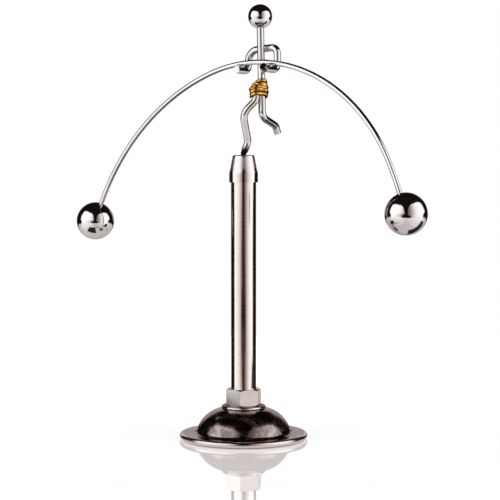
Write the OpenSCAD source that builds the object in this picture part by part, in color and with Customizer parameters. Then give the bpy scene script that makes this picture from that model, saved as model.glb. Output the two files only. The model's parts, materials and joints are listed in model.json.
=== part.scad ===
// Counterweight balancing toy: a wire figure stands on one toe on a column and
// carries a bowed pole whose two ball weights hang lower than the toe.
// Millimetres. Z is up and the origin is the centre of the face that the toy rests on.
// X runs along the pole, the figure faces -Y, and the toe stands on the Z axis.

/* [Base] */
// Diameter over the rolled edge of the flange
base_d = 64; // [58:1:80]
// Thickness of the flange
flange_t = 2.9; // [2.2:0.1:4]
// Diameter of the dome where it rises from the flange
dome_d = 47.6; // [44:0.2:52]
// Height of the dome from the underside of the flange
dome_h = 15; // [14:0.5:18]
// Diameter of the flat on top of the dome
dome_flat_d = 23; // [22.2:0.2:27]
// Radius of the dome's curve, seen in section
dome_curve_r = 16; // [15.5:0.5:26]
// Radius of the hollow where dome and flange meet
dome_fillet_r = 2; // [0.8:0.2:3]
// Wall of the dome
dome_wall = 2.5; // [1.5:0.1:3]
// Web of the base weight between the dome and the bottom washer
weight_web = 2.2; // [1.5:0.1:2.8]
// How far the pad's edge lies inside the edge of the flange
pad_inset = 2.5; // [2.2:0.1:4]
// Thickness of the pad
pad_t = 1; // [0.8:0.1:1.6]
// How far the pad stands out below the flange
pad_proud = 0.4; // [0.2:0.1:0.6]

/* [Column] */
// Thread diameter of the stud and its nuts
stud_d = 10; // [9:0.5:10]
// Size of both nuts across the flats
nut_af = 16; // [15:0.5:18]
// Height of the lock nut
nut_h = 8.4; // [6:0.2:10]
// Turn of the lock nut about the column, in degrees
nut_turn = -4; // [-30:1:30]
// Height of the thin nut under the base weight
thin_nut_h = 5; // [4:0.2:5.4]
// Outer diameter of the bottom washer
washer_d = 20; // [18:0.5:21]
// Thickness of the bottom washer
washer_t = 2; // [1.4:0.1:2.2]
// Outer diameter of the collar ring
collar_d = 22; // [18:0.5:22]
// Height of the collar ring
collar_h = 1.6; // [1.4:0.1:4]
// Outer diameter of the column tube
tube_d = 12.5; // [12.2:0.1:14]
// Bore of the column tube
tube_bore_d = 8.5; // [7:0.1:8.8]
// Length of the column tube
tube_len = 103; // [60:1:160]
// Length of stud screwed into the tube
stud_grip = 16; // [10:1:30]
// How far the stud's lower end shows below the thin nut
stud_proud = 0.8; // [0.4:0.1:1.2]

/* [Cap and pivot] */
// Diameter of the cap's skirt
cap_d = 14.4; // [14.2:0.1:17]
// Height of the cap above the tube
cap_h = 13.5; // [11:0.5:18]
// Height of the cap's straight skirt
cap_skirt_h = 4.6; // [3:0.2:6]
// Height over which the cap narrows from its skirt to its cone
cap_flare_h = 2; // [1:0.1:4]
// Diameter of the cap's cone at its foot
cap_cone_d = 13.3; // [12:0.1:14]
// Diameter of the cap's cone at the top
cap_top_d = 11; // [9:0.1:12]
// Radius of the cap's top edge
cap_edge_r = 0.8; // [0.4:0.1:1.2]
// Length of the cap's spigot inside the tube
spigot_len = 10; // [6:0.5:20]
// Diameter of the pivot seat
seat_d = 5; // [4.6:0.1:6]
// Metal under the cup of the pivot seat
seat_floor = 1.6; // [1:0.1:3]
// Diameter of the toe ball
toe_d = 3; // [2.6:0.1:3.4]
// Height of the toe ball's centre above the top of the cap
toe_lift = 0.9; // [0.7:0.05:1]

/* [Figure] */
// Diameter of the figure's wire
wire_d = 3.6; // [3.2:0.1:4]
// Diameter of the head
head_d = 12; // [10:0.5:16]
// Height of the head's centre above the toe
head_rise = 67.4; // [64:0.1:80]
// Depth of the wire's end in the head
head_socket = 7; // [4:0.5:8]
// Sideways place of the body wire at the raised knee
body_x = 9.7; // [8:0.1:11]
// Place of the body wire behind the toe
body_y = 2.45; // [1:0.05:4]
// How much nearer to the toe the head is than the raised knee, sideways
body_lean = 1.3; // [0:0.1:3]
// Height of the raised knee
raised_knee_rise = 17.9; // [16:0.1:22]
// Height of the raised heel
heel_rise = 13.9; // [12:0.1:16]
// Distance of the raised heel behind the body wire
heel_back = 11.4; // [8:0.1:16]
// Height of the raised toes
raised_toe_rise = 10.2; // [7:0.1:10.6]
// Distance of the raised toes behind the body wire
raised_toe_back = 13.2; // [10:0.1:18]
// Bend radius of the raised knee
raised_knee_bend = 4.5; // [3:0.1:6]
// Bend radius of the raised heel
heel_bend = 3; // [2.4:0.1:3.6]
// Direction in which the standing leg lies against the body wire, in degrees from -Y
hip_turn = 16; // [0:1:40]
// Height where the standing leg bends away from the body wire
hip_rise = 26.2; // [25.6:0.1:27]
// Length of the standing leg that lies along the body wire
hip_lap = 8; // [6:0.1:9]
// Bend radius of the hip
hip_bend = 4; // [3:0.1:4.4]
// Sideways place of the standing knee
knee_x = 3.4; // [2:0.1:5]
// Place of the standing knee in front of the toe
knee_front = 5; // [3:0.1:7]
// Height of the standing knee
knee_rise = 19.5; // [18:0.1:21]
// Bend radius of the standing knee
knee_bend = 7; // [4:0.1:8]
// Sideways place of the ankle
ankle_x = 2; // [1:0.1:3]
// Place of the ankle behind the toe
ankle_back = 1; // [0:0.1:2]
// Height of the ankle
ankle_rise = 5.6; // [5.2:0.1:7]
// Bend radius of the ankle
ankle_bend = 4; // [3:0.1:5]
// Length of the ground taper, from the toe ball's centre
taper_len = 2.2; // [2:0.1:2.8]
// Diameter of the taper where it meets the toe ball
taper_tip_d = 3.2; // [2.2:0.1:3.2]

/* [Arms] */
// Distance of the right arm from the body wire
right_arm = 6.5; // [6:0.1:10]
// Distance of the left arm from the body wire
left_arm = 11.2; // [9:0.1:14]
// Height of the right shoulder
right_shoulder_rise = 52.3; // [51:0.1:56]
// Height of the left shoulder
left_shoulder_rise = 51.3; // [50:0.1:56]
// Bend radius of the right shoulder
right_shoulder_bend = 3.2; // [2.6:0.1:4]
// Bend radius of the left shoulder
left_shoulder_bend = 6; // [3:0.1:6.4]
// Bend radius of both wrists
wrist_bend = 3.2; // [2.6:0.1:4]
// How far the right hand reaches straight past the pole
right_reach = 2.2; // [1:0.1:4]
// How far the left hand reaches straight past the pole
left_reach = 1; // [0.6:0.1:4]
// Length of the right hand's curled finger end
right_finger = 2.2; // [2:0.1:6]
// Length of the left hand's curled finger end
left_finger = 1; // [0.8:0.1:6]
// Upward curl of the right finger end, in degrees
right_curl = 28; // [5:1:40]
// Upward curl of the left finger end, in degrees
left_curl = 4; // [2:1:40]
// Bend radius of the curl
curl_bend = 4; // [3:0.1:6]
// Radius of the brazed joint at the shoulders
shoulder_braze_r = 1.9; // [1.6:0.1:2.2]
// Radius of the brazed joints at the hands
hand_braze_r = 1.7; // [1.4:0.1:2]

/* [Waist binding] */
// Diameter of the binding wire
bind_d = 1.2; // [0.8:0.05:1.2]
// Number of turns
bind_turns = 5; // [3:1:5]
// Height between one turn and the next
bind_pitch = 1.68; // [1.68:0.02:1.76]
// Height of the lowest turn above the hip bend
bind_lift = 1.75; // [1.7:0.05:2]

/* [Pole and weights] */
// Diameter of the pole
pole_d = 2.5; // [2:0.1:3]
// Sideways place of the pole's crest from the body wire
pole_slide = -2.9; // [-6:0.05:2]
// Height of the pole's crest above the toe
crest_rise = 44.8; // [43.6:0.1:46]
// Radius of the pole's crown
crown_r = 85.8; // [75:0.2:110]
// Turn of the crown to the left of the crest, in degrees
crown_left = 18.6; // [12:0.1:30]
// Turn of the crown to the right of the crest, in degrees
crown_right = 65.9; // [50:0.1:70]
// Radius of the pole's left arm
left_r = 125.8; // [90:0.2:180]
// Turn of the left arm, in degrees
left_turn = 46.5; // [40:0.1:50]
// Radius of the pole's right end
right_r = 195; // [90:1:260]
// Turn of the right end, in degrees
right_turn = 4.3; // [1:0.1:10]
// Diameter of both ball weights
weight_d = 20; // [16:0.1:24]
// Depth of the pole's ends in the weights
weight_socket = 8; // [5:0.5:12]

/* [Fits] */
// Gap round parts that lie loose in the base
loose_gap = 0.25; // [0.1:0.05:0.4]
// Gap round pressed or screwed parts
press_gap = 0.02; // [0.01:0.01:0.04]
// Gap between wires that lie against each other
touch_gap = 0.05; // [0.02:0.01:0.1]
// Running gap round the toe ball and the pivot seat
run_gap = 0.05; // [0.03:0.01:0.08]
// Gap between a brazed joint and its wires
braze_gap = 0.03; // [0.02:0.01:0.04]
// Gap between the binding and the wires inside it
bind_gap = 0.12; // [0.06:0.01:0.15]

/* [Hidden] */
$fn = 96;
chrome = [0.80, 0.81, 0.83];
nickel = [0.72, 0.69, 0.66];
black_nickel = [0.16, 0.14, 0.15];
zinc = [0.62, 0.62, 0.63];
brass = [0.80, 0.60, 0.20];
iron = [0.28, 0.28, 0.29];
felt = [0.09, 0.09, 0.10];

// Heights of the stand, from the floor up
pad_d = base_d - 2 * pad_inset;
flange_top = pad_proud + flange_t;
dome_top = pad_proud + dome_h;
hollow_top = dome_top - dome_wall;
washer_top = hollow_top - weight_web;
thin_nut_top = washer_top - washer_t;
stud_bottom = thin_nut_top - thin_nut_h - stud_proud;
collar_top = dome_top + collar_h;
nut_top = collar_top + nut_h;
tube_top = nut_top + tube_len;
cap_top = tube_top + cap_h;
toe_z = cap_top + toe_lift;
toe = [0, 0, toe_z];
// Depth of the pivot seat's underside below the toe ball's centre
seat_depth = toe_d / 2 + run_gap + seat_floor;

// Section of the dome: one arc from the edge of the flat to the flange
arc_start = [dome_flat_d / 2, dome_top];
arc_end = [dome_d / 2, flange_top];
arc_chord = arc_end - arc_start;
arc_depth = sqrt(dome_curve_r ^ 2 - (norm(arc_chord) / 2) ^ 2);
arc_inward = [arc_chord.y, -arc_chord.x] / norm(arc_chord);
dome_centre = (arc_start + arc_end) / 2 + arc_inward * arc_depth;
fillet_rise = flange_top + dome_fillet_r - dome_centre.y;
fillet_run = sqrt((dome_curve_r + dome_fillet_r) ^ 2 - fillet_rise ^ 2);
fillet_centre = dome_centre + [fillet_run, fillet_rise];
stud_hole_r = stud_d / 2 + loose_gap;
arc_steps = 16;

// A cut reaches this far past the face that it opens
over_cut = 1;
// A nut's corners are turned off at this angle, down to a ring just inside the flats
nut_bevel = 30;
nut_ring_inset = 0.1;
// Slant of the scarf on the standing leg's upper end
scarf_angle = 45;
// Bare core of a brazed joint, where the wires touch and there is no room for filler
braze_core_d = 1.2;
// Steepness with which a turn of the binding crosses from one wire to the other
bind_cross = 2.5;

// A bend is a hair thicker than the straight wire, which reaches a little way into it
bend_swell = 0.015;
bend_lap = 0.2;

// Lines of the figure
body_top = toe + [body_x - body_lean, body_y, head_rise];
raised_knee = toe + [body_x, body_y, raised_knee_rise];
heel = toe + [body_x, body_y + heel_back, heel_rise];
raised_toe = toe + [body_x, body_y + raised_toe_back, raised_toe_rise];
body_dir = unit(raised_knee - body_top);
side_by_side = wire_d + touch_gap;
hip_dir = [-sin(hip_turn), -cos(hip_turn), 0];
hip = body_at(hip_rise) + side_by_side * hip_dir;
leg_top = body_at(hip_rise + hip_lap) + side_by_side * hip_dir;
knee = toe + [knee_x, -knee_front, knee_rise];
ankle = toe + [ankle_x, ankle_back, ankle_rise];
foot_dir = unit(ankle - toe);
taper_top = toe + taper_len * foot_dir;

// Lines of the pole, in the plane that touches the front of the body wire
pole_y = body_y - (wire_d + pole_d) / 2 - touch_gap;
crest = toe + [body_x + pole_slide, 0, crest_rise];
crown_centre = [crest.x, crest.z - crown_r];
left_centre = crown_centre + (crown_r - left_r) * bow(crown_left);
right_centre = crown_centre + (crown_r - right_r) * bow(-crown_right);
left_end = crown_left + left_turn;
right_end = -crown_right - right_turn;
left_tip = left_centre + left_r * bow(left_end);
right_tip = right_centre + right_r * bow(right_end);

// Lines of the arms: the hands lie under the crown of the pole
arms_y = body_y + side_by_side;
right_x = body_x + right_arm;
left_x = body_x - left_arm;
pole_front = pole_y - pole_d / 2;
under_pole = crown_r - (pole_d + wire_d) / 2 - touch_gap;
right_hand_z = crown_centre.y + sqrt(under_pole ^ 2 - (right_x - crest.x) ^ 2);
left_hand_z = crown_centre.y + sqrt(under_pole ^ 2 - (left_x - crest.x) ^ 2);
right_shoulder = [right_x, arms_y, toe_z + right_shoulder_rise];
left_shoulder = [left_x, arms_y, toe_z + left_shoulder_rise];
right_palm = [right_x, pole_front - right_reach, right_hand_z];
left_palm = [left_x, pole_front - left_reach, left_hand_z];

// Path of the binding: turns that widen where the standing leg lies against the body
bind_rings = 24;
bind_sides = 6;
bind_bottom = hip_rise + bind_lift;
bind_reach = wire_d / 2 + bind_d / 2 + bind_gap;
bind_steps = bind_turns * bind_rings;
bind_coil = [for (i = [0 : bind_steps]) bind_at(i / bind_rings)];
bind_path = concat(
    [bind_coil[0] + bind_d * unit(bind_coil[0] - bind_coil[1])],
    bind_coil,
    [bind_coil[bind_steps] + bind_d * unit(bind_coil[bind_steps] - bind_coil[bind_steps - 1])]
);
bind_last = len(bind_path) - 1;
bind_clear = min([
    for (i = [0 : bind_last - bind_rings / 2])
        for (j = [i + bind_rings / 2 : bind_last])
            norm(bind_path[i] - bind_path[j])
]) - bind_d;
echo(binding_least_gap = bind_clear);

function unit(v) = v / norm(v);
function clamp(v, low, high) = max(low, min(high, v));

// Points of an arc in a section, from one angle to another
function arc_points(centre, r, from, to) =
    [for (i = [0 : arc_steps])
        let (angle = from + (to - from) * i / arc_steps)
        centre + r * [cos(angle), sin(angle)]];

// Angle at which an arc about the dome's centre reaches a height
function dome_angle(r, height) = asin(min(1, (height - dome_centre.y) / r));

// Points of the dome's inside, moved inwards by an inset, from the pad up to the hollow's top
function dome_inside(inset) =
    let (r = dome_curve_r - inset)
    arc_points(dome_centre, r, dome_angle(r, pad_t), dome_angle(r, hollow_top));

// Point of the body wire's line at a height above the toe
function body_at(rise) =
    body_top + (head_rise - rise) / (head_rise - raised_knee_rise) * (raised_knee - body_top);

// Direction in the pole's plane at an angle to the left of straight up
function bow(angle) = [-sin(angle), cos(angle)];

// Direction of the pole's run towards its right end, at the same angle
function tangent(angle) = [cos(angle), sin(angle)];

// Centre of the binding wire after a number of turns from the bottom
function bind_at(turn) =
    let (
        rise = bind_bottom + turn * bind_pitch,
        spread = side_by_side * clamp((hip_rise + hip_lap + bind_d - rise) / wire_d, 0, 1),
        across = cos(360 * turn),
        along = sin(360 * turn),
        end = spread * (1 + clamp(bind_cross * across, -1, 1)) / 2,
        beside = [-hip_dir.y, hip_dir.x, 0]
    )
    body_at(rise) + (end + bind_reach * across) * hip_dir + bind_reach * along * beside;

// Corners of the binding's section at one ring of its path
function bind_ring(i) =
    let (
        ahead = unit(bind_path[min(i + 1, bind_last)] - bind_path[max(i - 1, 0)]),
        out = unit(cross(ahead, [0, 0, 1])),
        up = cross(out, ahead)
    )
    [for (k = [0 : bind_sides - 1])
        let (angle = 360 * k / bind_sides)
        bind_path[i] + bind_d / 2 * (cos(angle) * out + sin(angle) * up)];

// Straight round bar between two points
module bar(from, to, d) {
    run = to - from;
    translate(from)
        rotate([0, acos(run.z / norm(run)), atan2(run.y, run.x)])
            cylinder(h = norm(run), d = d);
}

// Round elbow of a wire that turns from direction a to direction b at a corner
module elbow(corner, a, b, bend, d) {
    turn = acos(a * b);
    inward = unit(b - a * (a * b));
    start = corner - a * bend * tan(turn / 2);
    centre = start + inward * bend;
    axis = cross(a, inward);
    multmatrix([
        [-inward.x, a.x, axis.x, centre.x],
        [-inward.y, a.y, axis.y, centre.y],
        [-inward.z, a.z, axis.z, centre.z]
    ])
        rotate_extrude(angle = turn)
            translate([bend, 0])
                circle(d = d);
}

// Bent wire through a list of corners, with one bend radius for each inner corner
module bent_wire(corners, bends, d) {
    last = len(corners) - 1;
    dirs = [for (i = [0 : last - 1]) unit(corners[i + 1] - corners[i])];
    trims = [for (i = [0 : last])
        i == 0 || i == last ? 0 : bends[i - 1] * tan(acos(dirs[i - 1] * dirs[i]) / 2)];
    laps = [for (i = [0 : last]) i == 0 || i == last ? 0 : bend_lap];
    for (i = [0 : last - 1])
        bar(
            corners[i] + dirs[i] * (trims[i] - laps[i]),
            corners[i + 1] - dirs[i] * (trims[i + 1] - laps[i + 1]),
            d
        );
    for (i = [1 : last - 1])
        elbow(corners[i], dirs[i - 1], dirs[i], bends[i - 1], d + 2 * bend_swell);
}

// Arc of the pole about a centre, from one angle left of straight up to another
module pole_arc(centre, r, from, to, d) {
    translate([centre.x, pole_y, centre.y])
        rotate([90, 0, 0])
            rotate(90 + from)
                rotate_extrude(angle = to - from, $fn = 360)
                    translate([r, 0])
                        circle(d = d, $fn = 48);
}

// Straight bar from the pole's tip into its weight, along the pole's run
module pole_pin(tip, run, d) {
    start = [tip.x, pole_y, tip.y];
    outward = [run.x, 0, run.y];
    bar(start - bend_lap * outward, start + weight_socket * outward, d);
}

// Hexagon nut with chamfered corners and a plain bore
module hex_nut(h) {
    corner_r = nut_af / sqrt(3);
    ring_r = nut_af / 2 - nut_ring_inset;
    chamfer_h = (corner_r - ring_r) * tan(nut_bevel);
    difference() {
        intersection() {
            cylinder(r = corner_r, h = h, $fn = 6);
            union() {
                cylinder(r1 = ring_r, r2 = corner_r, h = chamfer_h);
                translate([0, 0, chamfer_h])
                    cylinder(r = corner_r, h = h - 2 * chamfer_h);
                translate([0, 0, h - chamfer_h])
                    cylinder(r1 = corner_r, r2 = ring_r, h = chamfer_h);
            }
        }
        translate([0, 0, -over_cut])
            cylinder(d = stud_d + 2 * press_gap, h = h + 2 * over_cut);
    }
}

// Steel ball with a blind socket that opens along a direction
module socket_ball(centre, d, mouth, socket_d, depth) {
    difference() {
        translate(centre)
            sphere(d = d);
        bar(centre + (d / 2 - depth) * mouth, centre + d * mouth, socket_d);
    }
}

module base() {
    rim_r = flange_t / 2;
    rim_centre = [base_d / 2 - rim_r, pad_proud + rim_r];
    to_fillet = atan2(fillet_rise, fillet_run);
    pad_recess_r = pad_d / 2 + loose_gap;
    color(black_nickel)
        rotate_extrude($fn = 180)
            polygon(concat(
                [[stud_hole_r, hollow_top], [stud_hole_r, dome_top]],
                arc_points(dome_centre, dome_curve_r, dome_angle(dome_curve_r, dome_top), to_fillet),
                arc_points(fillet_centre, dome_fillet_r, 180 + to_fillet, 270),
                arc_points(rim_centre, rim_r, 90, -90),
                [[pad_recess_r, pad_proud], [pad_recess_r, pad_t]],
                dome_inside(dome_wall)
            ));
}

module base_weight() {
    well_r = washer_d / 2 + 2 * loose_gap;
    color(iron)
        rotate_extrude($fn = 180)
            polygon(concat(
                [[stud_hole_r, hollow_top], [stud_hole_r, washer_top]],
                [[well_r, washer_top], [well_r, pad_t]],
                dome_inside(dome_wall + loose_gap)
            ));
}

module base_pad() {
    color(felt)
        cylinder(d = pad_d, h = pad_t);
}

module collar_ring() {
    round_r = collar_h / 2;
    color(nickel)
        translate([0, 0, dome_top])
            rotate_extrude()
                difference() {
                    union() {
                        square([collar_d / 2 - round_r, collar_h]);
                        translate([collar_d / 2 - round_r, round_r])
                            circle(r = round_r, $fn = 48);
                    }
                    translate([0, -over_cut])
                        square([stud_hole_r, collar_h + 2 * over_cut]);
                }
}

module lock_nut() {
    color(zinc)
        translate([0, 0, collar_top])
            rotate(nut_turn)
                hex_nut(nut_h);
}

module bottom_washer() {
    color(zinc)
        translate([0, 0, thin_nut_top])
            difference() {
                cylinder(d = washer_d, h = washer_t);
                translate([0, 0, -over_cut])
                    cylinder(r = stud_hole_r, h = washer_t + 2 * over_cut);
            }
}

module bottom_nut() {
    color(zinc)
        translate([0, 0, thin_nut_top - thin_nut_h])
            hex_nut(thin_nut_h);
}

module base_stud() {
    color(zinc)
        translate([0, 0, stud_bottom])
            cylinder(d = stud_d, h = nut_top + stud_grip - stud_bottom);
}

module column_tube() {
    color(nickel)
        translate([0, 0, nut_top])
            difference() {
                cylinder(d = tube_d, h = tube_len);
                translate([0, 0, -over_cut])
                    cylinder(d = tube_bore_d, h = tube_len + 2 * over_cut);
                translate([0, 0, -over_cut])
                    cylinder(d = stud_d + 2 * press_gap, h = over_cut + stud_grip + loose_gap);
            }
}

module cap() {
    color(chrome)
        translate([0, 0, tube_top])
            difference() {
                union() {
                    rotate_extrude()
                        cap_section();
                    translate([0, 0, -spigot_len])
                        cylinder(d = tube_bore_d - 2 * press_gap, h = spigot_len + over_cut);
                }
                translate([0, 0, cap_h + toe_lift - seat_depth])
                    cylinder(d = seat_d + 2 * run_gap, h = cap_h);
            }
}

// Section of the cap: straight skirt, a short flare, then a slow cone with a rounded edge
module cap_section() {
    edge_z = cap_h - cap_edge_r;
    polygon([
        [0, 0], [cap_d / 2, 0], [cap_d / 2, cap_skirt_h],
        [cap_cone_d / 2, cap_skirt_h + cap_flare_h], [cap_top_d / 2, edge_z], [0, edge_z]
    ]);
    translate([cap_top_d / 2 - cap_edge_r, edge_z])
        circle(r = cap_edge_r, $fn = 48);
    square([cap_top_d / 2 - cap_edge_r, cap_h]);
}

module pivot_seat() {
    color(brass)
        difference() {
            translate([0, 0, toe_z - seat_depth])
                cylinder(d = seat_d, h = seat_depth - toe_lift);
            translate(toe)
                sphere(d = toe_d + 2 * run_gap);
        }
}

module toe_ball() {
    color(chrome)
        translate(toe)
            sphere(d = toe_d);
}

module body_wire() {
    neck = body_top + (head_d / 2 - head_socket) * body_dir;
    color(chrome)
        bent_wire([neck, raised_knee, heel, raised_toe], [raised_knee_bend, heel_bend], wire_d);
}

// The leg's upper end is scarfed: cut on the slant so that the binding can taper over it
module standing_leg() {
    scarf = leg_top + wire_d / 2 * hip_dir - [0, 0, wire_d];
    taper_h = taper_len + bend_lap - toe_d / 4;
    cut = 4 * wire_d;
    color(chrome)
        difference() {
            union() {
                bent_wire(
                    [leg_top, hip, knee, ankle, taper_top],
                    [hip_bend, knee_bend, ankle_bend],
                    wire_d
                );
                translate(taper_top + bend_lap * foot_dir)
                    rotate([0, 180 - acos(foot_dir.z), atan2(foot_dir.y, foot_dir.x) + 180])
                        cylinder(d1 = wire_d - 2 * bend_swell, d2 = taper_tip_d, h = taper_h);
            }
            translate(toe)
                sphere(d = toe_d + 2 * run_gap);
            translate(scarf)
                rotate(-90 - hip_turn)
                    rotate([0, scarf_angle, 0])
                        translate([-cut / 2, -cut / 2, 0])
                            cube(cut);
        }
}

module arms_wire() {
    right_curl_dir = [0, -cos(right_curl), sin(right_curl)];
    left_curl_dir = [0, -cos(left_curl), sin(left_curl)];
    color(chrome)
        bent_wire([
            right_palm + right_finger * right_curl_dir,
            right_palm,
            [right_x, arms_y, right_hand_z],
            right_shoulder,
            left_shoulder,
            [left_x, arms_y, left_hand_z],
            left_palm,
            left_palm + left_finger * left_curl_dir
        ], [
            curl_bend, wrist_bend, right_shoulder_bend,
            left_shoulder_bend, wrist_bend, curl_bend
        ], wire_d);
}

module shoulder_braze() {
    across = left_shoulder - right_shoulder;
    body_part = (right_shoulder.x - body_at(right_shoulder_rise).x) / -across.x;
    touch = right_shoulder + body_part * across - [0, side_by_side / 2, 0];
    reach = [0, shoulder_braze_r, 0];
    color(chrome)
        difference() {
            translate(touch)
                rotate([90, 0, 0])
                    sphere(r = shoulder_braze_r);
            bar(touch - reach, touch + reach, braze_core_d);
            bar(body_top, raised_knee, wire_d + 2 * braze_gap);
            bar(right_shoulder, left_shoulder, wire_d + 2 * braze_gap);
        }
}

module hand_brazes() {
    color(chrome)
        for (x = [left_x, right_x])
            hand_braze(x);
}

// Braze round the touching point of one hand and the pole
module hand_braze(x) {
    lean = asin((crest.x - x) / under_pole);
    outward = [bow(lean).x, 0, bow(lean).y];
    middle = [crown_centre.x, pole_y, crown_centre.y];
    touch = middle + (crown_r - (pole_d + touch_gap) / 2) * outward;
    palm = middle + under_pole * outward;
    reach = hand_braze_r * outward;
    along = [0, wire_d, 0];
    difference() {
        translate(touch)
            sphere(r = hand_braze_r);
        bar(touch - reach, touch + reach, braze_core_d);
        translate(middle)
            rotate([90, 0, 0])
                rotate_extrude($fn = 360)
                    translate([crown_r, 0])
                        circle(d = pole_d + 2 * braze_gap, $fn = 48);
        bar(palm - along, palm + along, wire_d + 2 * braze_gap);
    }
}

// One unbroken wire whose faces run ring by ring, with a flat face at each end
module waist_binding() {
    corners = [for (i = [0 : bind_last]) each bind_ring(i)];
    sides = [for (i = [0 : bind_last - 1], k = [0 : bind_sides - 1])
        let (
            a = i * bind_sides + k,
            b = i * bind_sides + (k + 1) % bind_sides
        )
        each [[a, b, a + bind_sides], [b, b + bind_sides, a + bind_sides]]];
    first_end = [for (k = [1 : bind_sides - 2]) [0, k + 1, k]];
    tail = bind_last * bind_sides;
    last_end = [for (k = [1 : bind_sides - 2]) [tail, tail + k, tail + k + 1]];
    color(brass)
        polyhedron(corners, concat(sides, first_end, last_end));
}

module head_ball() {
    color(chrome)
        socket_ball(body_top, head_d, body_dir, wire_d + 2 * press_gap, head_socket);
}

module balance_pole() {
    arm_d = pole_d - 2 * bend_swell;
    pin_d = pole_d - 4 * bend_swell;
    left_lap = bend_lap / left_r * 180 / PI;
    right_lap = bend_lap / right_r * 180 / PI;
    color(chrome) {
        pole_arc(crown_centre, crown_r, -crown_right, crown_left, pole_d);
        pole_arc(left_centre, left_r, crown_left - left_lap, left_end, arm_d);
        pole_arc(right_centre, right_r, right_end, right_lap - crown_right, arm_d);
        pole_pin(left_tip, -tangent(left_end), pin_d);
        pole_pin(right_tip, tangent(right_end), pin_d);
    }
}

module left_weight() {
    color(chrome)
        pole_weight(left_tip, -tangent(left_end));
}

module right_weight() {
    color(chrome)
        pole_weight(right_tip, tangent(right_end));
}

// Ball weight pressed on a tip of the pole
module pole_weight(tip, run) {
    outward = [run.x, 0, run.y];
    centre = [tip.x, pole_y, tip.y] + weight_d / 2 * outward;
    socket_ball(centre, weight_d, -outward, pole_d + 2 * press_gap, weight_socket);
}

base();
base_weight();
base_pad();
collar_ring();
lock_nut();
bottom_washer();
bottom_nut();
base_stud();
column_tube();
cap();
pivot_seat();
toe_ball();
body_wire();
standing_leg();
arms_wire();
shoulder_braze();
hand_brazes();
waist_binding();
head_ball();
balance_pole();
left_weight();
right_weight();
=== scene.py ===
import json
import math

import bpy
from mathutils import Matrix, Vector

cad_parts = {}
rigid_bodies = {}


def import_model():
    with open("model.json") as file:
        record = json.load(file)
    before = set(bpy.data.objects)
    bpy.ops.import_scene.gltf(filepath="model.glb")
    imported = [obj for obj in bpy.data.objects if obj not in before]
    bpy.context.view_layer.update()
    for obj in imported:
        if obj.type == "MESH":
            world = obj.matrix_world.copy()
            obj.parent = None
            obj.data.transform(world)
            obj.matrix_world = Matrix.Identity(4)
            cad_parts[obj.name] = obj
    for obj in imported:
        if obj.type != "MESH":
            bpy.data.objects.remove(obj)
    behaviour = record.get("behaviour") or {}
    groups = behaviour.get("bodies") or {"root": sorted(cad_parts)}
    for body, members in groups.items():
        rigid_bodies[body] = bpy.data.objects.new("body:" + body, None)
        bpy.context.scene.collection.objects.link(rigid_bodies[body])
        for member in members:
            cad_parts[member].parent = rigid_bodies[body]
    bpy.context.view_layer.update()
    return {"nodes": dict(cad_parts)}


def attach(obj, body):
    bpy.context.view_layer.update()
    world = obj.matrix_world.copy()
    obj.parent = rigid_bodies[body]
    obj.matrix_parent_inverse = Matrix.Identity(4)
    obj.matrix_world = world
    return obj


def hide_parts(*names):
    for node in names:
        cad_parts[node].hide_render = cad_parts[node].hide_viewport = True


# Blender's own first objects go before the frame comes in
for leftover in list(bpy.data.objects):
    bpy.data.objects.remove(leftover)
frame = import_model()

MM = 0.001
UP = Vector((0, 0, 1))
WHITE = (1.0, 1.0, 1.0)

# Height of the toe ball's centre, as in the part's source
TOE_Z = 142.8 * MM


# Small helpers for objects and node trees

# The Mix node's sockets for colours, which share their names with its other sockets
MIX_SHARE, MIX_FIRST, MIX_SECOND, MIX_RESULT = 0, 6, 7, 2


def new_object(name, data):
    made = bpy.data.objects.new(name, data)
    bpy.context.scene.collection.objects.link(made)
    return made


def opaque(colour):
    return (*colour, 1.0)


def feed(tree, socket, value):
    """Links an output to a socket, or sets the socket's own value."""
    if isinstance(value, bpy.types.NodeSocket):
        tree.links.new(value, socket)
    else:
        socket.default_value = value


def add(tree, kind, settings=None, **inputs):
    """A new node, with its settings and with its named inputs set or linked."""
    made = tree.nodes.new(kind)
    for name, value in (settings or {}).items():
        setattr(made, name, value)
    for name, value in inputs.items():
        feed(tree, made.inputs[name.replace("_", " ")], value)
    return made


def add_in_order(tree, kind, settings, *values):
    """A new node, with its settings and with its first inputs set or linked in their order."""
    made = add(tree, kind, settings)
    for socket, value in zip(made.inputs, values):
        feed(tree, socket, value)
    return made


def math_node(tree, operation, *values, clamped=False):
    settings = {"operation": operation, "use_clamp": clamped}
    return add_in_order(tree, "ShaderNodeMath", settings, *values).outputs[0]


def vector_node(tree, operation, *values):
    return add_in_order(tree, "ShaderNodeVectorMath", {"operation": operation}, *values).outputs


def blend_colours(tree, share, first, second):
    """Colour between two, by a share that changes over the surface."""
    made = add(tree, "ShaderNodeMix", {"data_type": "RGBA"})
    feed(tree, made.inputs[MIX_SHARE], share)
    for index, colour in ((MIX_FIRST, first), (MIX_SECOND, second)):
        feed(tree, made.inputs[index], opaque(colour) if isinstance(colour, tuple) else colour)
    return made.outputs[MIX_RESULT]


def stretch(tree, value, low, high, to_low=0.0, to_high=1.0):
    """Eases a value from one range to another, and holds it at the ends."""
    settings = {"interpolation_type": "SMOOTHSTEP"}
    return add_in_order(tree, "ShaderNodeMapRange", settings, value, low, high, to_low, to_high).outputs[0]


def mix_shaders(tree, share, first, second):
    return add_in_order(tree, "ShaderNodeMixShader", None, share, first.outputs[0], second.outputs[0])


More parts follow.
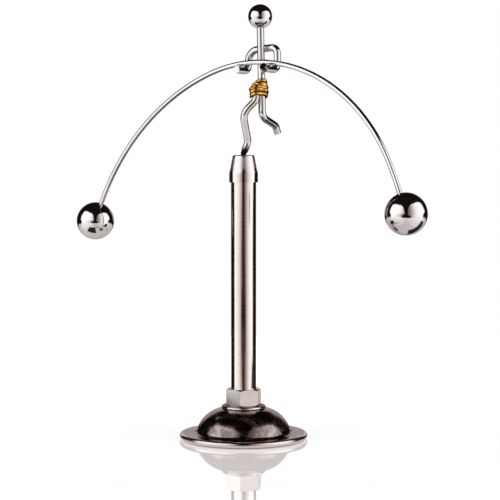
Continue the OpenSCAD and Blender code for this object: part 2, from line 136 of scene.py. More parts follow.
def new_group(name, kind, inputs, outputs):
    """Empty node group, with the sockets that it is given and those that it puts out."""
    tree = bpy.data.node_groups.new(name, kind)
    for socket_kind, label, value in inputs:
        socket = tree.interface.new_socket(name=label, in_out="INPUT", socket_type=socket_kind)
        if value is not None:
            socket.default_value = value
    for socket_kind, label in outputs:
        tree.interface.new_socket(name=label, in_out="OUTPUT", socket_type=socket_kind)
    given = tree.nodes.new("NodeGroupInput").outputs
    made = tree.nodes.new("NodeGroupOutput").inputs
    return tree, given, made


def use_group(tree, group, **inputs):
    return add(tree, "ShaderNodeGroup", {"node_tree": group}, **inputs).outputs


# Shared surface effects

def make_handling_marks():
    """Cloudy smudges and hairline scratches from handling."""
    cloud_edges = (0.40, 0.68)
    hairline_edges = (0.63, 0.74)
    hairline_shape = (1.0, 1.0, 0.03)
    hairline_turns = ((0.5, 0.2, 0.9), (-0.7, 1.1, 0.3))
    tree, given, made = new_group(
        "handling_marks", "ShaderNodeTree",
        [
            ("NodeSocketVector", "Place", None),
            ("NodeSocketFloat", "Cloud Scale", 90.0),
            ("NodeSocketFloat", "Hairline Scale", 900.0),
        ],
        [("NodeSocketFloat", "Clouds"), ("NodeSocketFloat", "Hairlines")],
    )
    clouds = add(tree, "ShaderNodeTexNoise", Vector=given["Place"], Scale=given["Cloud Scale"],
                 Detail=5.0, Roughness=0.62)
    feed(tree, made["Clouds"], stretch(tree, clouds.outputs[0], *cloud_edges))
    lines = []
    for turn in hairline_turns:
        slanted = add(tree, "ShaderNodeMapping", Vector=given["Place"], Rotation=turn, Scale=hairline_shape)
        grain = add(tree, "ShaderNodeTexNoise", Vector=slanted.outputs[0],
                    Scale=given["Hairline Scale"], Detail=2.0)
        lines.append(stretch(tree, grain.outputs[0], *hairline_edges))
    feed(tree, made["Hairlines"], math_node(tree, "MAXIMUM", *lines))
    return tree


def make_drawn_grain():
    """Fine streaks that run up a drawn tube, and broad bands of duller plating."""
    streak_edges = (0.3, 0.7)
    streak_shape = (1.0, 1.0, 0.012)
    band_edges = (0.35, 0.7)
    tree, given, made = new_group(
        "drawn_grain", "ShaderNodeTree",
        [
            ("NodeSocketVector", "Place", None),
            ("NodeSocketFloat", "Streak Scale", 1400.0),
            ("NodeSocketFloat", "Band Scale", 45.0),
        ],
        [("NodeSocketFloat", "Streaks"), ("NodeSocketFloat", "Bands")],
    )
    long_way = add(tree, "ShaderNodeMapping", Vector=given["Place"], Scale=streak_shape)
    streaks = add(tree, "ShaderNodeTexNoise", Vector=long_way.outputs[0],
                  Scale=given["Streak Scale"], Detail=3.0, Roughness=0.7)
    feed(tree, made["Streaks"], stretch(tree, streaks.outputs[0], *streak_edges))
    bands = add(tree, "ShaderNodeTexNoise", Vector=given["Place"], Scale=given["Band Scale"],
                Detail=3.0)
    feed(tree, made["Bands"], stretch(tree, bands.outputs[0], *band_edges))
    return tree


HANDLING_MARKS = make_handling_marks()
DRAWN_GRAIN = make_drawn_grain()


# Finishes

HAIRLINE_DEPTH = 0.02 * MM
STREAK_DEPTH = 0.01 * MM
PIT_DEPTH = 0.03 * MM
CASTING_DEPTH = 0.3 * MM
FIBRE_DEPTH = 0.3 * MM
# Black for the toe, a painted dark reflection
PAINTED_DARK_REFLECTION = (0.012, 0.01, 0.01)


def new_finish(name, metallic=1.0, edge=WHITE):
    """New finish: its node tree, its shader and the place on the solid's own coordinates."""
    finish = bpy.data.materials.new(name)
    finish.use_nodes = True
    tree = finish.node_tree
    shader = tree.nodes["Principled BSDF"]
    shader.inputs["Metallic"].default_value = metallic
    shader.inputs["Specular Tint"].default_value = opaque(edge)
    place = tree.nodes.new("ShaderNodeTexCoord").outputs["Object"]
    return finish, tree, shader, place


def set_colour(tree, shader, colour):
    feed(tree, shader.inputs["Base Color"], colour)


def set_roughness(tree, shader, *wear, smooth):
    """Roughness that grows from the smooth value by each mask's amount."""
    rough = smooth
    for mask, amount in wear:
        rough = math_node(tree, "MULTIPLY_ADD", mask, amount, rough)
    feed(tree, shader.inputs["Roughness"], rough)


def set_bump(tree, shader, height, depth, strength):
    raised = add(tree, "ShaderNodeBump", Height=height, Distance=depth, Strength=strength)
    feed(tree, shader.inputs["Normal"], raised.outputs[0])


def height_of(tree, place):
    return add(tree, "ShaderNodeSeparateXYZ", Vector=place).outputs["Z"]


def plated_finish(name, clean, worn, edge, smooth, smudge, scratch, painted_dark=None):
    """Polished plating, its gloss broken by smudges and hairlines, and painted black below given heights as
    a painted dark reflection.
    """
    finish, tree, shader, place = new_finish(name, edge=edge)
    marks = use_group(tree, HANDLING_MARKS, Place=place)
    colour = blend_colours(tree, marks["Clouds"], clean, worn)
    # Painted dark reflection: black below the given heights, fading into the plating above them
    if painted_dark:
        clear_of_painted_dark = stretch(tree, height_of(tree, place), *painted_dark)
        colour = blend_colours(tree, clear_of_painted_dark, PAINTED_DARK_REFLECTION, colour)
    set_colour(tree, shader, colour)
    set_roughness(tree, shader, (marks["Hairlines"], scratch), (marks["Clouds"], smudge), smooth=smooth)
    set_bump(tree, shader, marks["Hairlines"], depth=HAIRLINE_DEPTH, strength=0.15)
    return finish


def cap_finish():
    """Bright nickel on a turned cap: polished skirt and edge, with a satin cone between them."""
    satin_foot = (132.0 * MM, 136.5 * MM)
    satin_top = (140.2 * MM, 141.6 * MM)
    clean = (0.88, 0.82, 0.80)
    worn = (0.80, 0.74, 0.72)
    brushed = (0.97, 0.92, 0.91)
    finish, tree, shader, place = new_finish("turned_nickel", edge=(0.3, 0.25, 0.25))
    marks = use_group(tree, HANDLING_MARKS, Place=place)
    height = height_of(tree, place)
    above_foot = stretch(tree, height, *satin_foot)
    below_top = stretch(tree, height, *satin_top, 1.0, 0.0)
    satin = math_node(tree, "MULTIPLY", above_foot, below_top)
    plated = blend_colours(tree, marks["Clouds"], clean, worn)
    set_colour(tree, shader, blend_colours(tree, satin, plated, brushed))
    set_roughness(tree, shader, (satin, 0.25), (marks["Clouds"], 0.05), smooth=0.06)
    set_bump(tree, shader, marks["Hairlines"], depth=HAIRLINE_DEPTH, strength=0.15)
    return finish


def drawn_tube_finish():
    """Plating on a drawn tube, with warm streaks and bands that are duller."""
    warm = (0.86, 0.755, 0.72)
    pale = (0.95, 0.87, 0.835)
    # The dark reddish edge colour paints darker edges on the tube at grazing angles, a painted shade
    finish, tree, shader, place = new_finish("drawn_nickel", edge=(0.06, 0.02, 0.02))
    grain = use_group(tree, DRAWN_GRAIN, Place=place)
    marks = use_group(tree, HANDLING_MARKS, Place=place)
    set_colour(tree, shader, blend_colours(tree, grain["Streaks"], warm, pale))
    set_roughness(tree, shader, (grain["Bands"], 0.05), (marks["Hairlines"], 0.05), smooth=0.10)
    set_bump(tree, shader, grain["Streaks"], depth=STREAK_DEPTH, strength=0.2)
    return finish


def satin_finish():
    """Satin zinc, tumbled: fine pits and soft smears."""
    grey = (0.82, 0.745, 0.71)
    pale = (0.92, 0.845, 0.81)
    finish, tree, shader, place = new_finish("satin_zinc")
    marks = use_group(tree, HANDLING_MARKS, Place=place, Cloud_Scale=160.0)
    pits = add(tree, "ShaderNodeTexNoise", Vector=place, Scale=2400.0, Detail=2.0)
    set_colour(tree, shader, blend_colours(tree, marks["Clouds"], grey, pale))
    set_roughness(tree, shader, (marks["Clouds"], 0.08), smooth=0.17)
    set_bump(tree, shader, pits.outputs[0], depth=PIT_DEPTH, strength=0.25)
    return finish


def dark_dome_finish():
    """Dark nickel on a spun dome: cloudy wear, a few scratches, and a rim painted bright as a painted
    highlight.
    """
    rim_highlight_from = (30.0 * MM, 30.9 * MM)
    ragged = 0.4 * MM
    dark = (0.22, 0.17, 0.165)
    cloudy = (0.55, 0.455, 0.445)
    bright = (0.84, 0.77, 0.75)
    finish, tree, shader, place = new_finish("dark_nickel")
    marks = use_group(tree, HANDLING_MARKS, Place=place, Cloud_Scale=210.0, Hairline_Scale=700.0)
    plated = blend_colours(tree, marks["Clouds"], dark, cloudy)
    level = vector_node(tree, "MULTIPLY", place, (1.0, 1.0, 0.0))["Vector"]
    from_axis = vector_node(tree, "LENGTH", level)["Value"]
    uneven = math_node(tree, "MULTIPLY_ADD", marks["Clouds"], -ragged, from_axis)
    # Painted highlight: bright nickel from a ragged radius out to the rim
    rim_highlight = stretch(tree, uneven, *rim_highlight_from)
    set_colour(tree, shader, blend_colours(tree, rim_highlight, plated, bright))
    set_roughness(tree, shader, (marks["Clouds"], 0.1), smooth=0.13)
    set_bump(tree, shader, marks["Hairlines"], depth=HAIRLINE_DEPTH, strength=0.2)
    return finish


def brass_finish(name, clean, worn):
    """Brass, duller in patches, with painted brown shade in the grooves of a piece that has its grooves
    marked.
    """
    groove_edges = (0.16, 0.6)
    painted_groove_shade = (0.17, 0.02, 0.0)
    finish, tree, shader, place = new_finish(name, edge=(0.3, 0.08, 0.0))
    marks = use_group(tree, HANDLING_MARKS, Place=place, Cloud_Scale=420.0, Hairline_Scale=1500.0)
    groove = add(tree, "ShaderNodeAttribute", {"attribute_name": "groove"}).outputs["Fac"]
    patched = blend_colours(tree, marks["Clouds"], clean, worn)
    # Painted shade: brown where the wire faces up or down, in the grooves between the loops
    set_colour(tree, shader, blend_colours(tree, stretch(tree, groove, *groove_edges), patched, painted_groove_shade))
    set_roughness(tree, shader, (marks["Clouds"], 0.12), smooth=0.08)
    set_bump(tree, shader, marks["Hairlines"], depth=HAIRLINE_DEPTH, strength=0.3)
    return finish


def iron_finish():
    """Rough grey casting."""
    dark = (0.10, 0.09, 0.085)
    grey = (0.17, 0.16, 0.155)
    finish, tree, shader, place = new_finish("cast_iron")
    marks = use_group(tree, HANDLING_MARKS, Place=place, Cloud_Scale=200.0)
    skin = add(tree, "ShaderNodeTexNoise", Vector=place, Scale=900.0, Detail=6.0, Roughness=0.7)
    set_colour(tree, shader, blend_colours(tree, marks["Clouds"], dark, grey))
    set_roughness(tree, shader, smooth=0.6)
    set_bump(tree, shader, skin.outputs[0], depth=CASTING_DEPTH, strength=0.7)
    return finish


def felt_finish():
    """Black felt with loose fibres."""
    black = (0.008, 0.008, 0.009)
    grey = (0.035, 0.035, 0.038)
    finish, tree, shader, place = new_finish("black_felt", metallic=0.0)
    fibres = add(tree, "ShaderNodeTexNoise", Vector=place, Scale=3200.0, Detail=6.0, Roughness=0.8)
    shader.inputs["Sheen Weight"].default_value = 0.4
    set_colour(tree, shader, blend_colours(tree, fibres.outputs[0], black, grey))
    set_roughness(tree, shader, smooth=0.95)
    set_bump(tree, shader, fibres.outputs[0], depth=FIBRE_DEPTH, strength=0.8)
    return finish


BALL_PLATING = {
    "clean": (0.87, 0.86, 0.86), "worn": (0.80, 0.79, 0.79), "edge": (0.6, 0.57, 0.57),
    "smooth": 0.02, "smudge": 0.035, "scratch": 0.03,
}
COLLAR_PLATING = {
    "clean": (0.88, 0.83, 0.81), "worn": (0.80, 0.75, 0.73), "edge": (0.3, 0.25, 0.25),
    "smooth": 0.06, "smudge": 0.05, "scratch": 0.04,
}
# The wires' black edge colour paints dark outlines along them at grazing angles, a painted shade
FIGURE_PLATING = {
    "clean": (0.81, 0.80, 0.80), "worn": (0.70, 0.69, 0.69), "edge": (0.0, 0.0, 0.0),
    "smooth": 0.03, "smudge": 0.05, "scratch": 0.03,
}
POLE_PLATING = {**FIGURE_PLATING, "clean": (0.90, 0.89, 0.89), "worn": (0.80, 0.79, 0.79)}
# Heights over which the toe's painted dark reflection fades into the plating
PAINTED_DARK_TOE = (TOE_Z + 1.3 * MM, TOE_Z + 4.8 * MM)

CHROME = plated_finish("polished_chrome", **BALL_PLATING)
BRIGHT_NICKEL = plated_finish("bright_nickel", **COLLAR_PLATING)
TURNED_NICKEL = cap_finish()
BENT_WIRE = plated_finish("bent_wire", **FIGURE_PLATING)
LEG_WIRE = plated_finish("leg_wire", **FIGURE_PLATING, painted_dark=PAINTED_DARK_TOE)
POLE_WIRE = plated_finish("pole_wire", **POLE_PLATING)
TUBE_NICKEL = drawn_tube_finish()
SATIN_ZINC = satin_finish()
DARK_NICKEL = dark_dome_finish()
BRASS = brass_finish("drawn_brass", clean=(1.0, 0.7, 0.18), worn=(0.42, 0.11, 0.002))
OILED_BRASS = brass_finish("oiled_brass", clean=(0.22, 0.14, 0.06), worn=(0.10, 0.06, 0.02))
IRON = iron_finish()
FELT = felt_finish()

FINISH_OF_NODE = {
    "base": DARK_NICKEL,
    "base_weight": IRON,
    "base_pad": FELT,
    "collar_ring": BRIGHT_NICKEL,
    "lock_nut": SATIN_ZINC,
    "bottom_washer": SATIN_ZINC,
    "bottom_nut": SATIN_ZINC,
    "base_stud": SATIN_ZINC,
    "column_tube": TUBE_NICKEL,
    "cap": TURNED_NICKEL,
    "pivot_seat": OILED_BRASS,
    "toe_ball": LEG_WIRE,
    "body_wire": BENT_WIRE,
    "standing_leg": LEG_WIRE,
    "arms_wire": BENT_WIRE,
    "shoulder_braze": BENT_WIRE,
    "hand_brazes": BENT_WIRE,
    "waist_binding": BRASS,
    "head_ball": CHROME,
    "balance_pole": POLE_WIRE,
    "left_weight": CHROME,
    "right_weight": CHROME,
}
for node_name, part in frame["nodes"].items():
    part.material_slots[0].material = FINISH_OF_NODE[node_name]


# Waist binding: two layers of flattened wire round the body wire and the standing leg

# The figure's wires, as in the part's source
WIRE_D = 3.6 * MM
TOUCH_GAP = 0.05 * MM
SIDE_BY_SIDE = WIRE_D + TOUCH_GAP
BODY_TOP = Vector((8.4, 2.45, 67.4)) * MM + TOE_Z * UP
RAISED_KNEE = Vector((9.7, 2.45, 17.9)) * MM + TOE_Z * UP
HIP_TURN = math.radians(16)
HIP_RISE = 26.2 * MM
HIP_LAP = 8.0 * MM
BIND_LIFT = 1.75 * MM
BIND_D = 1.2 * MM
BIND_CROSS = 2.5

# The layers: the front of each loop arches, and the foot flares like a bell
FIRST_ANGLE = math.radians(-40)
ARCH_ANGLE = math.radians(52.5)
BELL_FLARE = 0.25 * MM
BELL_HEIGHT = 7.5 * MM
RINGS_PER_TURN = 40.0
WIRE_SIDES = 14


def loop_places(tree, given):
    """Places along loops that go round both wires and draw in to one where the leg ends."""
    index = tree.nodes.new("GeometryNodeInputIndex").outputs[0]
    turn = math_node(tree, "DIVIDE", index, RINGS_PER_TURN)
    angle = math_node(tree, "MULTIPLY_ADD", turn, math.tau, given["Start Angle"])
    across = math_node(tree, "COSINE", angle)
    along = math_node(tree, "SINE", angle)

    # Each loop climbs by the pitch, and arches at the front
    level = math_node(tree, "MULTIPLY", turn, given["Pitch"])
    ahead = math_node(tree, "COSINE", math_node(tree, "SUBTRACT", angle, ARCH_ANGLE))
    rise = math_node(tree, "MULTIPLY_ADD", ahead, given["Arch"], level)
    to_top = math_node(tree, "SUBTRACT", given["Lap Top"], rise)

    # It goes out to the leg on one side, and less far where the leg tapers away
    taper = math_node(tree, "DIVIDE", to_top, given["Lap Taper"], clamped=True)
    spread = math_node(tree, "MULTIPLY", taper, given["Lap"])
    side = math_node(tree, "MULTIPLY_ADD", across, BIND_CROSS / 2, 0.5, clamped=True)
    end = math_node(tree, "MULTIPLY", spread, side)

    # It is wider towards the foot
    bell = math_node(tree, "DIVIDE", to_top, BELL_HEIGHT, clamped=True)
    reach = math_node(tree, "MULTIPLY_ADD", bell, given["Flare"], given["Reach"])
    outward = math_node(tree, "MULTIPLY_ADD", reach, across, end)
    sideways = math_node(tree, "MULTIPLY", reach, along)

    place = given["Bottom"]
    for direction, amount in (("Climb", rise), ("Lap Direction", outward), ("Beside", sideways)):
        step = add(tree, "ShaderNodeVectorMath", {"operation": "SCALE"},
                   Vector=given[direction], Scale=amount)
        place = vector_node(tree, "ADD", place, step.outputs["Vector"])["Vector"]
    return place


def flat_wire(tree, given, path):
    """Flattened wire along a path, taller than it is thick."""
    upright = add(tree, "GeometryNodeSetCurveNormal", {"mode": "Z_UP"}, Curve=path)
    round_wire = add(tree, "GeometryNodeCurvePrimitiveCircle", Resolution=WIRE_SIDES, Radius=0.5)
    flattened = add(tree, "ShaderNodeCombineXYZ", X=given["Thickness"], Y=given["Height"], Z=1.0)
    section = add(tree, "GeometryNodeTransform", Geometry=round_wire.outputs[0],
                  Scale=flattened.outputs[0])
    wire = add(tree, "GeometryNodeCurveToMesh", Curve=upright.outputs[0],
               Profile_Curve=section.outputs[0], Fill_Caps=True)
    return wire.outputs[0]


def mark_grooves(tree, given, wire):
    """Stores how much the wire faces up or down, towards the grooves between the loops, for the painted
    shade there.
    """
    normal = tree.nodes.new("GeometryNodeInputNormal").outputs[0]
    facing = vector_node(tree, "DOT_PRODUCT", normal, given["Climb"])["Value"]
    marked = add(tree, "GeometryNodeStoreNamedAttribute", {"data_type": "FLOAT", "domain": "POINT"},
                 Geometry=wire, Name="groove", Value=math_node(tree, "ABSOLUTE", facing))
    return marked.outputs[0]


def make_binding_coil():
    """Geometry Nodes tree that winds a wire round two wires which lie side by side."""
    sizes = ("Thickness", "Height", "Reach", "Pitch", "Turns", "Start Angle", "Arch", "Flare", "Lap",
             "Lap Top", "Lap Taper")
    places = ("Bottom", "Climb", "Lap Direction", "Beside")
    tree, given, made = new_group(
        "binding_coil", "GeometryNodeTree",
        [
            *(("NodeSocketFloat", label, None) for label in sizes),
            *(("NodeSocketVector", label, None) for label in places),
            ("NodeSocketMaterial", "Finish", None),
        ],
        [("NodeSocketGeometry", "Wire")],
    )
    count = math_node(tree, "MULTIPLY_ADD", given["Turns"], RINGS_PER_TURN, 1.0)
    points = add(tree, "GeometryNodeMeshLine", Count=count)
    wound = add(tree, "GeometryNodeSetPosition", Geometry=points.outputs[0],
                Position=loop_places(tree, given))
    path = add(tree, "GeometryNodeMeshToCurve", Mesh=wound.outputs[0])
    wire = flat_wire(tree, given, path.outputs[0])
    smooth = add(tree, "GeometryNodeSetShadeSmooth", Geometry=mark_grooves(tree, given, wire))
    whole = add(tree, "GeometryNodeRealizeInstances", Geometry=smooth.outputs[0])
    dressed = add(tree, "GeometryNodeSetMaterial", Geometry=whole.outputs[0], Material=given["Finish"])
    feed(tree, made["Wire"], dressed.outputs[0])
    return tree


def grown(name, tree, **inputs):
    """Plain mesh that a Geometry Nodes tree makes from its named inputs."""
    seed = new_object(name + "_seed", bpy.data.meshes.new(name + "_seed"))
    modifier = seed.modifiers.new("grown", "NODES")
    modifier.node_group = tree
    for item in tree.interface.items_tree:
        label = item.name.replace(" ", "_")
        if item.in_out == "INPUT" and label in inputs:
            modifier[item.identifier] = inputs[label]
    bpy.context.view_layer.update()
    graph = bpy.context.evaluated_depsgraph_get()
    mesh = bpy.data.meshes.new_from_object(seed.evaluated_get(graph), depsgraph=graph)
    bpy.data.objects.remove(seed)
    return new_object(name, mesh)


BINDING_COIL = make_binding_coil()
CLIMB = (BODY_TOP - RAISED_KNEE) / (BODY_TOP.z - RAISED_KNEE.z)
BIND_BOTTOM = HIP_RISE + BIND_LIFT
BIND_FOOT = RAISED_KNEE + CLIMB * (BIND_BOTTOM + TOE_Z - RAISED_KNEE.z)


def wind(name, thick, tall, gap, start, pitch, turns, arch):
    """One layer of the binding, from a height above its foot."""
    layer = grown(
        name, BINDING_COIL,
        Thickness=thick,
        Height=tall,
        Reach=WIRE_D / 2 + thick / 2 + gap,
        Pitch=pitch,
        Turns=turns,
        Start_Angle=FIRST_ANGLE,
        Arch=arch,
        Flare=BELL_FLARE,
        Lap=SIDE_BY_SIDE,
        Lap_Top=HIP_RISE + HIP_LAP + BIND_D - BIND_BOTTOM - start,
        Lap_Taper=WIRE_D,
        Bottom=BIND_FOOT + CLIMB * start,
        Climb=CLIMB,
        Lap_Direction=Vector((-math.sin(HIP_TURN), -math.cos(HIP_TURN), 0)),
        Beside=Vector((math.cos(HIP_TURN), -math.sin(HIP_TURN), 0)),
        Finish=BRASS,
    )
    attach(layer, "walker")
    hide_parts("waist_binding")


wind("waist_binding_inner", thick=1.1 * MM, tall=1.75 * MM, gap=0.05 * MM, start=-0.2 * MM,
     pitch=1.65 * MM, turns=4.7, arch=1.2 * MM)
wind("waist_binding_outer", thick=0.8 * MM, tall=1.3 * MM, gap=0.75 * MM, start=5.6 * MM,
     pitch=-2.2 * MM, turns=1.75, arch=1.0 * MM)


# Camera: as far away, as high and as long as the photograph's, in metres and millimetres of film

VIEW_TURN = math.radians(36.456)
VIEW_DROP = math.radians(2.588)
VIEW_PLACE = (0.44925, -0.60271, 0.12865)
FILM_WIDTH = 36.0
FOCAL_LENGTH = 108.55
NEAREST = 0.05
FARTHEST = 20.0


def make_camera():
    camera = new_object("camera", bpy.data.cameras.new("camera"))
    camera.data.sensor_width = FILM_WIDTH
    camera.data.lens = FOCAL_LENGTH
    camera.data.clip_start = NEAREST
    camera.data.clip_end = FARTHEST
    camera.location = VIEW_PLACE
    camera.rotation_euler = (math.pi / 2 - VIEW_DROP, 0.0, VIEW_TURN)
    bpy.context.scene.camera = camera


# Stage: a glossy white table inside a dark tent with two wide soft windows

FRONT = Vector((math.sin(VIEW_TURN), -math.cos(VIEW_TURN), 0))
RIGHT = Vector((math.cos(VIEW_TURN), math.sin(VIEW_TURN), 0))


def level_direction(turn):
    """Level direction from the object, at degrees from the camera to the picture's right."""
    angle = math.radians(turn)
    return math.cos(angle) * FRONT + math.sin(angle) * RIGHT


def staged_mesh(name, points, faces, material):
    mesh = bpy.data.meshes.new(name)
    mesh.from_pydata(points, [], faces)
    mesh.materials.append(material)
    made = new_object(name, mesh)
    return made


def staged_finish(name):
    """Empty material for the stage, which isn't counted among the lamps."""
    material = bpy.data.materials.new(name)
    material.use_nodes = True
    material.node_tree.nodes.clear()
    material.cycles.emission_sampling = "NONE"
    return material, material.node_tree


# Tent: where its windows are, in degrees aside of the camera and above the table

TENT_RADIUS = 1.0
TENT_LOW = -30
TENT_HIGH = 90
TENT_STEP = 2
DARK = 0.008

# Colour of the darkest places, and the brightness from which the tent is plain white
DARK_TINT = (1.0, 0.72, 0.64)
WHITE_FROM = 1.1

# Degrees aside and the brightness there
RIGHT_WINDOW = [(7, 0.12), (19, 0.3), (28, 0.5), (47, 0.95), (60, 1.1), (74, 1.2), (104, 1.2)]
LEFT_WINDOW = [(9, 0.4), (15, 0.65), (24, 0.95), (34, 1.1), (54, 1.15), (65, 1.2), (99, 1.2)]
LEFT_FOOT = [(9, 0.2), (18, 0.3), (28, 0.52), (37, 0.68), (47, 0.77), (57, 0.86), (75, 1.0)]

# The top edge is level between two angles and droops beyond them, by so much per square degree
WINDOW_TOP = 51
LEVEL_FROM = 40
LEVEL_TO = 70
INNER_DROOP = 0.02
OUTER_DROOP = 0.01

# The inner edge leans aside above one height, again per square degree, and a window is narrower at
# its sill and at its foot, each between two heights
LEAN_FROM = 5
INNER_LEAN = 0.006
SILL = (-4, 6)
SILL_DRAW = 15
FOOT = (3, 14)
RIGHT_FOOT_DRAW = 12
LEFT_FOOT_DRAW = 8
INNER_BLUR = 1
OUTER_BLUR = 2

# A sheet of paper behind the object: its brightness, and where its edges fade in or out
PAPER_GLOW = 0.6
PAPER_SIDE = (148, 154)
PAPER_FOOT = (2, 5)
PAPER_TOP = (24, 30)


def ease(value, low, high):
    share = min(1.0, max(0.0, (value - low) / (high - low)))
    return share * share * (3 - 2 * share)


def past(value, edge, blur):
    return ease(value, edge - blur, edge + blur)


def along_steps(value, steps):
    """Brightness between given steps of (angle, brightness)."""
    for (a, low), (b, high) in zip(steps, steps[1:]):
        if value <= b:
            return low + (high - low) * max(0.0, value - a) / (b - a)
    return steps[-1][1]


def top_edge(aside):
    inner = INNER_DROOP * max(0.0, LEVEL_FROM - aside) ** 2
    outer = OUTER_DROOP * max(0.0, aside - LEVEL_TO) ** 2
    return WINDOW_TOP - inner - outer


def tent_glow(turn, rise):
    """Brightness of the tent at degrees to the right of the camera and degrees above the table."""
    on_right = turn > 0
    aside = abs(turn)
    steps = RIGHT_WINDOW if on_right else LEFT_WINDOW
    foot = 1 - ease(rise, *FOOT)
    lean = SILL_DRAW * (1 - ease(rise, *SILL)) + INNER_LEAN * max(0.0, rise - LEAN_FROM) ** 2
    inner = steps[0][0] + lean
    outer = steps[-1][0] - (RIGHT_FOOT_DRAW if on_right else LEFT_FOOT_DRAW) * foot
    window = past(aside, inner, INNER_BLUR) * (1 - past(aside, outer, OUTER_BLUR))
    window *= 1 - past(rise, top_edge(aside), OUTER_BLUR)
    if not on_right:
        window *= 1 - foot * (1 - along_steps(aside, LEFT_FOOT))
    paper = ease(aside, *PAPER_SIDE) * ease(rise, *PAPER_FOOT) * (1 - ease(rise, *PAPER_TOP))
    return max(DARK, window * along_steps(aside, steps), PAPER_GLOW * paper)


def tent_finish():
    """Glow of the tent, a little warm where it is dim, and plain white in the table's own mirror."""
    material, tree = staged_finish("tent")
    glow = add(tree, "ShaderNodeAttribute", {"attribute_name": "glow"})
    rays = tree.nodes.new("ShaderNodeLightPath").outputs
    bright = math_node(tree, "MAXIMUM", glow.outputs["Fac"], rays["Is Singular Ray"])
    warm = blend_colours(tree, stretch(tree, bright, 0.0, WHITE_FROM), DARK_TINT, WHITE)
    light = add(tree, "ShaderNodeEmission", Color=warm, Strength=bright)
    add(tree, "ShaderNodeOutputMaterial", Surface=light.outputs[0])
    return material


def make_tent():
    """Dome round the stage that only reflections see."""
    turns = range(-180, 180, TENT_STEP)
    rises = range(TENT_LOW, TENT_HIGH + 1, TENT_STEP)
    points, glows, faces = [], [], []
    for rise in rises:
        angle = math.radians(rise)
        for turn in turns:
            outward = math.cos(angle) * level_direction(turn) + math.sin(angle) * UP
            points.append(TENT_RADIUS * outward)
            glows.append(tent_glow(turn, rise))
    wide = len(turns)
    for row in range(len(rises) - 1):
        here, above = row * wide, (row + 1) * wide
        for j in range(wide):
            k = (j + 1) % wide
            faces.append((here + j, here + k, above + k, above + j))
    tent = staged_mesh("tent", points, faces, tent_finish())
    values = tent.data.attributes.new("glow", "FLOAT", "POINT")
    values.data.foreach_set("value", glows)
    tent.visible_camera = False
    tent.visible_diffuse = False
    tent.visible_shadow = False


# Table: metres to the right of its middle, to the front of it and away from it. A pair gives the
# two places, or the two shares of gloss, between which something comes in or goes

TABLE_SIDES = (-0.7, 0.7)
TABLE_DEPTH = (-0.5, 0.37)
TABLE_IOR = 1.95
TABLE_MATT = (0.85, 0.83, 0.825)

# Middle and half size of two dark cards on the table, to the right and to the front. They are there
# for reflections alone: the balls show them, and the camera sees white
DARK_CARDS = [((0.215, 0.001), (0.125, 0.054)), ((-0.12, 0.018), (0.05, 0.053))]
CARD_BLUR = 0.006
CARD_DARKNESS = 0.97


def table_for_camera(tree, matt, gloss, away, front):
    """White, with the object's reflection in a gloss that is stronger at the front."""
    gloss_end = (0.12, 0.3)
    front_edge = (0.075, 0.115)
    front_polish = 0.3
    front_dimmer = 0.05
    back_edge = (-0.14, 0.02)
    back_brighter = 0.08
    white_edge = (0.12, 0.24)
    white_near, white_far = 0.52, 1.0
    warm_share = 2.2
    warm_white = (1.0, 0.9, 0.89)
    cool_mirror = (1.0, 1.1, 1.11)

    ahead = stretch(tree, front, *front_edge)
    polish = math_node(tree, "MULTIPLY_ADD", ahead, front_polish, 1.0)
    near = stretch(tree, away, *gloss_end, 1.0, 0.0)
    share = math_node(tree, "MULTIPLY", math_node(tree, "MULTIPLY", gloss, near), polish)
    warmth = math_node(tree, "MULTIPLY", share, warm_share, clamped=True)
    tint = blend_colours(tree, warmth, WHITE, warm_white)
    own_white = stretch(tree, away, *white_edge, white_near, white_far)
    own_white = math_node(tree, "MULTIPLY_ADD", ahead, -front_dimmer, own_white)
    own_white = math_node(tree, "ADD", own_white, stretch(tree, front, *back_edge, back_brighter, 0.0))
    white = add(tree, "ShaderNodeEmission", Color=tint, Strength=own_white)
    lit = add_in_order(tree, "ShaderNodeAddShader", None, matt.outputs[0], white.outputs[0])
    mirror = add(tree, "ShaderNodeBsdfGlossy", Color=opaque(cool_mirror), Roughness=0.0)
    return mix_shaders(tree, share, lit, mirror)


def card_shade(tree, right, front, middle, half):
    """Share of light that one dark card leaves: little on the card, and all of it beside the card."""
    inside = []
    for value, centre, reach in zip((right, front), middle, half):
        off = math_node(tree, "ABSOLUTE", math_node(tree, "SUBTRACT", value, centre))
        inside.append(stretch(tree, off, reach - CARD_BLUR, reach + CARD_BLUR, 1.0, 0.0))
    card = math_node(tree, "MULTIPLY", *inside)
    return math_node(tree, "MULTIPLY_ADD", card, -CARD_DARKNESS, 1.0)


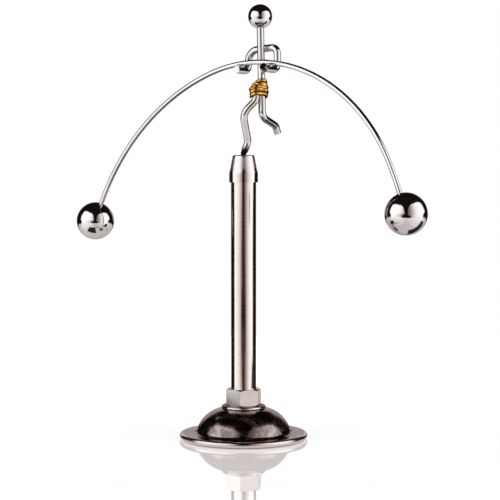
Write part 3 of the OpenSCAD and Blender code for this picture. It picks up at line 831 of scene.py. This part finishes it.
def table_for_metal(tree, gloss, ray_length, away, right, front):
    """Pale grey with a low sheen, dark on the cards, and with painted shade in the middle when looked down
    on from high.
    """
    shade_edge = (0.1, 0.42)
    shade_near, shade_far = 0.68, 0.98
    high_from = (0.145, 0.175)
    steep_to = (0.112, 0.145)
    middle_edge = (0.08, 0.17)
    middle_painted_shade = 0.9
    sheen_edge = (0.30, 0.48)
    pale_grey = (1.0, 0.93, 0.92)

    shade = stretch(tree, away, *shade_edge, shade_near, shade_far)
    from_high = stretch(tree, ray_length, *high_from)
    steep = stretch(tree, gloss, *steep_to, 1.0, 0.0)
    down = math_node(tree, "MULTIPLY", from_high, steep)
    # Painted shade: the middle of the table goes dark for what looks down on it steeply
    middle = stretch(tree, away, *middle_edge, -middle_painted_shade, 0.0)
    shade = math_node(tree, "MULTIPLY", shade, math_node(tree, "MULTIPLY_ADD", down, middle, 1.0))
    low_gloss = math_node(tree, "MAXIMUM", gloss, stretch(tree, gloss, *sheen_edge))
    for middle_place, half in DARK_CARDS:
        bare = card_shade(tree, right, front, middle_place, half)
        shade = math_node(tree, "MULTIPLY", shade, bare)
        low_gloss = math_node(tree, "MULTIPLY", low_gloss, bare)
    pale = add(tree, "ShaderNodeEmission", Color=opaque(pale_grey), Strength=shade)
    sheen = add(tree, "ShaderNodeBsdfGlossy", Color=opaque(WHITE), Roughness=0.05)
    return mix_shaders(tree, low_gloss, pale, sheen)


def table_finish():
    material, tree = staged_finish("table")
    rays = tree.nodes.new("ShaderNodeLightPath").outputs
    place = tree.nodes.new("ShaderNodeTexCoord").outputs["Object"]
    away = vector_node(tree, "LENGTH", place)["Value"]
    right, front = (vector_node(tree, "DOT_PRODUCT", place, side)["Value"] for side in (RIGHT, FRONT))
    gloss = add(tree, "ShaderNodeFresnel", IOR=TABLE_IOR).outputs[0]
    matt = add(tree, "ShaderNodeBsdfDiffuse", Color=opaque(TABLE_MATT))
    for_camera = table_for_camera(tree, matt, gloss, away, front)
    for_metal = table_for_metal(tree, gloss, rays["Ray Length"], away, right, front)
    other = mix_shaders(tree, rays["Is Glossy Ray"], matt, for_metal)
    either = mix_shaders(tree, rays["Is Camera Ray"], other, for_camera)
    add(tree, "ShaderNodeOutputMaterial", Surface=either.outputs[0])
    return material


def make_table():
    """Flat table top round the object, square to the camera."""
    left, right = TABLE_SIDES
    back, front = TABLE_DEPTH
    corners = [(left, back), (left, front), (right, front), (right, back)]
    points = [RIGHT * across + FRONT * towards for across, towards in corners]
    staged_mesh("table", points, [(0, 1, 2, 3)], table_finish())


# World and lamps, with the lamps' turns in degrees from the camera to the picture's right

FILL_COLOUR = (1.0, 0.99, 0.985)
FILL_STRENGTH = 0.25
LAMP_WIDTH = 1.0
LAMP_HEIGHT = 0.8
LAMP_AWAY = 1.1
LAMP_RISE = 0.6
AIM_RISE = 0.08
LAMP_POWER = 6.0
LAMP_TURNS = {"left_lamp": -60, "right_lamp": 62}


def make_world():
    """White to the camera and in what looks past the tent, and a low fill for what is matt."""
    world = bpy.data.worlds.new("studio")
    bpy.context.scene.world = world
    world.use_nodes = True
    tree = world.node_tree
    tree.nodes.clear()
    rays = tree.nodes.new("ShaderNodeLightPath").outputs
    shown = math_node(tree, "MAXIMUM", rays["Is Camera Ray"], rays["Is Glossy Ray"])
    shown = math_node(tree, "MAXIMUM", shown, rays["Is Transmission Ray"])
    fill = add(tree, "ShaderNodeBackground", Color=opaque(FILL_COLOUR), Strength=FILL_STRENGTH)
    white = add(tree, "ShaderNodeBackground", Color=opaque(WHITE), Strength=1.0)
    add(tree, "ShaderNodeOutputWorld", Surface=mix_shaders(tree, shown, fill, white).outputs[0])


def make_lamp(name, turn):
    """Soft lamp at one window, for the shadow on the table. The metal sees the window itself."""
    data = bpy.data.lights.new(name, "AREA")
    data.shape = "RECTANGLE"
    data.size = LAMP_WIDTH
    data.size_y = LAMP_HEIGHT
    data.energy = LAMP_POWER
    lamp = new_object(name, data)
    lamp.location = LAMP_AWAY * level_direction(turn) + LAMP_RISE * UP
    aim = AIM_RISE * UP - lamp.location
    lamp.rotation_euler = aim.to_track_quat("-Z", "Y").to_euler()
    lamp.visible_glossy = False
    lamp.visible_camera = False


make_camera()
make_tent()
make_table()
make_world()
for lamp_name, lamp_turn in LAMP_TURNS.items():
    make_lamp(lamp_name, lamp_turn)
bpy.context.scene.view_settings.view_transform = "Standard"
